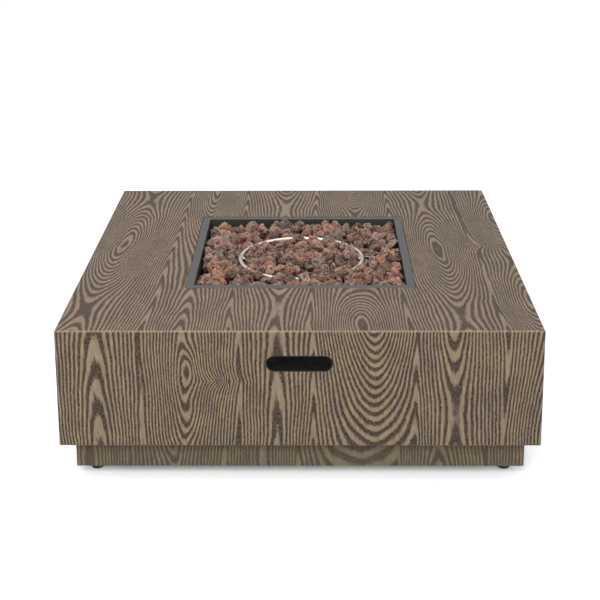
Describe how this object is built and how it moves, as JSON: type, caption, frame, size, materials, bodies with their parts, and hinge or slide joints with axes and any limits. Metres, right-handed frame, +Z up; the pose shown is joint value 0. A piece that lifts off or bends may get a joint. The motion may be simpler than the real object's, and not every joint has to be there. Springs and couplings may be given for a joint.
{
  "type": "gas fire pit table",
  "caption": "Low square gas fire table: wood-grain cast body on a recessed plinth, drop-in steel pan of lava rock round a ring burner, side panel with knob and igniter.",
  "frame": {"origin": "on the floor, under the middle of the deck", "axes": "+Z up, front (the side with the handle slot in view) faces -Y, the control panel is at +X"},
  "size_m": [1, 1, 0.337],
  "materials": {
    "casting": "matt wood-grain cast fibre concrete, dark lines",
    "plinth_casting": "matt wood-grain cast fibre concrete, darker",
    "base_board": "plain matt fibre-cement board",
    "pan_paint": "charcoal high-temperature paint, satin",
    "panel_paint": "black powder coat, satin",
    "lava_rock": "rough porous red-brown rock",
    "burner_stainless": "satin stainless tube",
    "pilot_stainless": "satin stainless strip",
    "hose_steel": "corrugated stainless hose",
    "zinc_steel": "bright zinc plate",
    "brass": "machined brass",
    "copper": "soft copper tube",
    "black_plastic": "moulded black, satin",
    "foot_plastic": "moulded black, satin",
    "ceramic": "white alumina",
    "battery_wrap": "printed sleeve left plain green",
    "red_cable": "silicone insulation"
  },
  "bodies": {
    "root": {"body_shell": "casting", "base_frame": "base_board", "plinth": "plinth_casting", "handle_liner_front": "black_plastic", "handle_liner_rear": "black_plastic", "burner_pan": "pan_paint", "lava_rock_bed": "lava_rock", "burner_ring": "burner_stainless", "burner_nipple": "zinc_steel", "burner_locknut_upper": "zinc_steel", "burner_locknut_lower": "zinc_steel", "air_mixer": "brass", "burner_hose": "hose_steel", "hose_nut_mixer": "brass", "hose_nut_valve": "brass", "supply_tube": "copper", "gas_inlet_fitting": "brass", "control_panel": "panel_paint", "gas_valve": "brass", "valve_nut": "zinc_steel", "igniter_module": "black_plastic", "igniter_nut": "black_plastic", "igniter_battery": "battery_wrap", "pilot_bracket": "pilot_stainless", "electrode_insulator": "ceramic", "electrode_rod": "pilot_stainless", "thermocouple_probe": "copper", "thermocouple_lead": "copper", "ignition_wire": "red_cable", "corner_bracket_front_left": "zinc_steel", "corner_bracket_front_right": "zinc_steel", "corner_bracket_rear_left": "zinc_steel", "corner_bracket_rear_right": "zinc_steel", "foot_nut_front_left": "zinc_steel", "foot_nut_front_right": "zinc_steel", "foot_nut_rear_left": "zinc_steel", "foot_nut_rear_right": "zinc_steel", "pan_clip_front": "zinc_steel", "pan_clip_rear": "zinc_steel", "pan_clip_left": "zinc_steel", "pan_clip_right": "zinc_steel", "clip_screw_front": "zinc_steel", "clip_screw_rear": "zinc_steel", "clip_screw_left": "zinc_steel", "clip_screw_right": "zinc_steel", "panel_screw_lower_front": "zinc_steel", "panel_screw_lower_rear": "zinc_steel", "panel_screw_upper_front": "zinc_steel", "panel_screw_upper_rear": "zinc_steel"},
    "valve_spindle": {"valve_stem": "zinc_steel"},
    "knob": {"control_knob": "black_plastic"},
    "igniter_cap": {"igniter_cap": "black_plastic"},
    "igniter_button": {"igniter_button": "black_plastic"},
    "foot_front_left": {"levelling_foot_front_left": "foot_plastic"},
    "foot_front_right": {"levelling_foot_front_right": "foot_plastic"},
    "foot_rear_left": {"levelling_foot_rear_left": "foot_plastic"},
    "foot_rear_right": {"levelling_foot_rear_right": "foot_plastic"}
  },
  "joints": [
    {"name": "foot_screw_front_left", "type": "slide", "parent": "root", "child": "foot_front_left", "axis": [0, 0, 1], "range_m": [-0.012, 0]},
    {"name": "foot_screw_front_right", "type": "slide", "parent": "root", "child": "foot_front_right", "axis": [0, 0, 1], "range_m": [-0.012, 0]},
    {"name": "foot_screw_rear_left", "type": "slide", "parent": "root", "child": "foot_rear_left", "axis": [0, 0, 1], "range_m": [-0.012, 0]},
    {"name": "foot_screw_rear_right", "type": "slide", "parent": "root", "child": "foot_rear_right", "axis": [0, 0, 1], "range_m": [-0.012, 0]},
    {"name": "knob_turn", "type": "hinge", "parent": "root", "child": "valve_spindle", "pos_m": [0.4748, -0.038, 0.2095], "axis": [1, 0, 0], "range_deg": [0, 180]},
    {"name": "knob_push", "type": "slide", "parent": "valve_spindle", "child": "knob", "axis": [-1, 0, 0], "range_m": [0, 0.004], "stiffness_N_per_m": 800, "springref_m": -0.004},
    {"name": "igniter_cap_off", "type": "slide", "parent": "root", "child": "igniter_cap", "axis": [1, 0, 0], "range_m": [0, 0.025]},
    {"name": "igniter_push", "type": "slide", "parent": "igniter_cap", "child": "igniter_button", "axis": [-1, 0, 0], "range_m": [0, 0.004], "stiffness_N_per_m": 800, "springref_m": -0.004}
  ]
}
